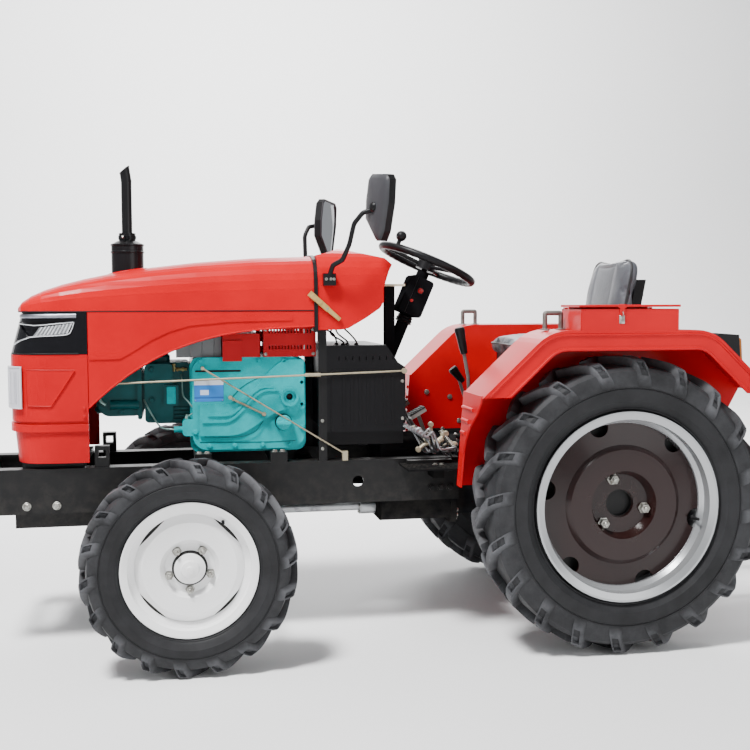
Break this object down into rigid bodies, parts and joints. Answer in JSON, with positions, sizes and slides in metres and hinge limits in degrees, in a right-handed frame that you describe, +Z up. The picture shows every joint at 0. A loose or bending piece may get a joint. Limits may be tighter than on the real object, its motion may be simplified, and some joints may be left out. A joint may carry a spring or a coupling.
{
  "type": "farm tractor",
  "caption": "Compact farm tractor with driven front axle, open engine under an arched hood, lugged tyres, fenders, seat, tool box and rear three-point hitch.",
  "frame": {"origin": "on the ground under the middle of the bounding box", "axes": "+X forward, +Y to the left, +Z up"},
  "size_m": [3.04, 1.364, 1.716],
  "materials": {
    "rails": "satin black paint",
    "frame_crossmembers": "satin black paint",
    "axle_cradle": "satin black paint",
    "front_axle": "painted casting",
    "knuckle_left": "painted casting",
    "knuckle_right": "painted casting",
    "tie_rod": "bare or plated steel",
    "rim_front_left": "painted wheel",
    "tyre_front_left": "ribbed field tyre",
    "rim_front_right": "painted wheel",
    "tyre_front_right": "ribbed field tyre",
    "rim_rear_left": "painted wheel",
    "tyre_rear_left": "ribbed field tyre",
    "rim_rear_right": "painted wheel",
    "tyre_rear_right": "ribbed field tyre",
    "engine_block": "painted casting",
    "cylinder_head": "painted casting",
    "radiator": "bare",
    "engine_covers": "gloss red sheet",
    "muffler": "bare or plated steel",
    "belt_guard": "satin black paint",
    "hood_top": "gloss red sheet",
    "side_panels": "gloss red sheet",
    "nose_mask": "gloss red sheet",
    "nose_skirt": "gloss red sheet",
    "headlights": "smoked lens",
    "marker_lamps": "smoked lens",
    "grille": "moulded",
    "hood_seal": "black seal",
    "cowl": "gloss red sheet",
    "cowl_posts": "satin black paint",
    "mirrors": "moulded",
    "console": "satin black paint",
    "steering_column": "moulded",
    "steering_wheel": "moulded",
    "gearbox": "painted casting",
    "rear_axle": "painted casting",
    "drive_shaft": "bare or plated steel",
    "controls": "bare or plated steel",
    "control_rods": "bare or plated steel",
    "footboards": "satin black paint",
    "fenders": "gloss red sheet",
    "toolbox": "gloss red sheet",
    "toolbox_lid": "gloss red sheet",
    "grab_handles": "bare or plated steel",
    "rear_lamps": "smoked lens",
    "seat_deck": "gloss red sheet",
    "seat_frame": "satin black paint",
    "seat_cushion": "padded cover",
    "seat_back": "padded cover",
    "lift_housing": "painted casting",
    "lift_arms": "satin black paint",
    "lift_rods": "bare or plated steel",
    "lower_links": "satin black paint",
    "drawbar": "satin black paint",
    "pto_shaft": "bare or plated steel"
  },
  "bodies": {
    "chassis": {"rails": "rails", "frame_crossmembers": "frame_crossmembers", "axle_cradle": "axle_cradle", "front_axle": "front_axle", "engine_block": "engine_block", "cylinder_head": "cylinder_head", "radiator": "radiator", "engine_covers": "engine_covers", "muffler": "muffler", "belt_guard": "belt_guard", "hood_top": "hood_top", "side_panels": "side_panels", "nose_mask": "nose_mask", "nose_skirt": "nose_skirt", "headlights": "headlights", "marker_lamps": "marker_lamps", "grille": "grille", "hood_seal": "hood_seal", "cowl": "cowl", "cowl_posts": "cowl_posts", "mirrors": "mirrors", "console": "console", "steering_column": "steering_column", "gearbox": "gearbox", "rear_axle": "rear_axle", "drive_shaft": "drive_shaft", "controls": "controls", "control_rods": "control_rods", "footboards": "footboards", "fenders": "fenders", "toolbox": "toolbox", "grab_handles": "grab_handles", "rear_lamps": "rear_lamps", "seat_deck": "seat_deck", "seat_frame": "seat_frame", "seat_cushion": "seat_cushion", "seat_back": "seat_back", "lift_housing": "lift_housing", "drawbar": "drawbar", "pto_shaft": "pto_shaft"},
    "knuckle_left": {"knuckle_left": "knuckle_left"},
    "knuckle_right": {"knuckle_right": "knuckle_right"},
    "tie_rod": {"tie_rod": "tie_rod"},
    "steering_wheel": {"steering_wheel": "steering_wheel"},
    "toolbox_lid": {"toolbox_lid": "toolbox_lid"},
    "lift_arms": {"lift_arms": "lift_arms"},
    "lift_rods": {"lift_rods": "lift_rods"},
    "lower_links": {"lower_links": "lower_links"},
    "wheel_front_left": {"rim_front_left": "rim_front_left", "tyre_front_left": "tyre_front_left"},
    "wheel_front_right": {"rim_front_right": "rim_front_right", "tyre_front_right": "tyre_front_right"},
    "wheel_rear_left": {"rim_rear_left": "rim_rear_left", "tyre_rear_left": "tyre_rear_left"},
    "wheel_rear_right": {"rim_rear_right": "rim_rear_right", "tyre_rear_right": "tyre_rear_right"}
  },
  "joints": [
    {"name": "steer_left", "type": "hinge", "parent": "chassis", "child": "knuckle_left", "pos_m": [0.805, 0.43, 0.354], "axis": [0, 0, 1], "range_deg": [-35, 35]},
    {"name": "steer_right", "type": "hinge", "parent": "chassis", "child": "knuckle_right", "pos_m": [0.805, -0.43, 0.354], "axis": [0, 0, 1], "range_deg": [-35, 35]},
    {"name": "tie_rod_pivot", "type": "hinge", "parent": "knuckle_left", "child": "tie_rod", "pos_m": [0.605, 0.43, 0.354], "axis": [0, 0, 1], "range_deg": [-35, 35]},
    {"name": "steering_turn", "type": "hinge", "parent": "chassis", "child": "steering_wheel", "pos_m": [-0.12, 0, 1.362], "axis": [-0.3907, 0, 0.9205], "range_deg": [-525, 525]},
    {"name": "front_left_roll", "type": "hinge", "parent": "knuckle_left", "child": "wheel_front_left", "pos_m": [0.805, 0.543, 0.354], "axis": [0, 1, 0], "continuous": true},
    {"name": "front_right_roll", "type": "hinge", "parent": "knuckle_right", "child": "wheel_front_right", "pos_m": [0.805, -0.543, 0.354], "axis": [0, 1, 0], "continuous": true},
    {"name": "rear_left_roll", "type": "hinge", "parent": "chassis", "child": "wheel_rear_left", "pos_m": [-0.67, 0.57, 0.515], "axis": [0, 1, 0], "continuous": true},
    {"name": "rear_right_roll", "type": "hinge", "parent": "chassis", "child": "wheel_rear_right", "pos_m": [-0.67, -0.57, 0.515], "axis": [0, 1, 0], "continuous": true},
    {"name": "toolbox_hinge", "type": "hinge", "parent": "chassis", "child": "toolbox_lid", "pos_m": [-0.664, 0.49, 1.186], "axis": [1, 0, 0], "range_deg": [0, 100]},
    {"name": "lift", "type": "hinge", "parent": "chassis", "child": "lift_arms", "pos_m": [-0.82, 0, 0.79], "axis": [0, 1, 0], "range_deg": [-18, 35]},
    {"name": "lift_rod_pivot", "type": "hinge", "parent": "lift_arms", "child": "lift_rods", "pos_m": [-1.09, 0, 0.79], "axis": [0, 1, 0], "range_deg": [-35, 18]},
    {"name": "lower_link_pivot", "type": "hinge", "parent": "chassis", "child": "lower_links", "pos_m": [-0.82, 0, 0.4], "axis": [0, 1, 0], "range_deg": [-18, 35]}
  ],
  "couplings": [
    {"joint": "steer_right", "follows": "steer_left", "ratio": 1},
    {"joint": "tie_rod_pivot", "follows": "steer_left", "ratio": -1},
    {"joint": "steering_turn", "follows": "steer_left", "ratio": 15},
    {"joint": "lift_rod_pivot", "follows": "lift", "ratio": -1},
    {"joint": "lower_link_pivot", "follows": "lift", "ratio": 1}
  ]
}
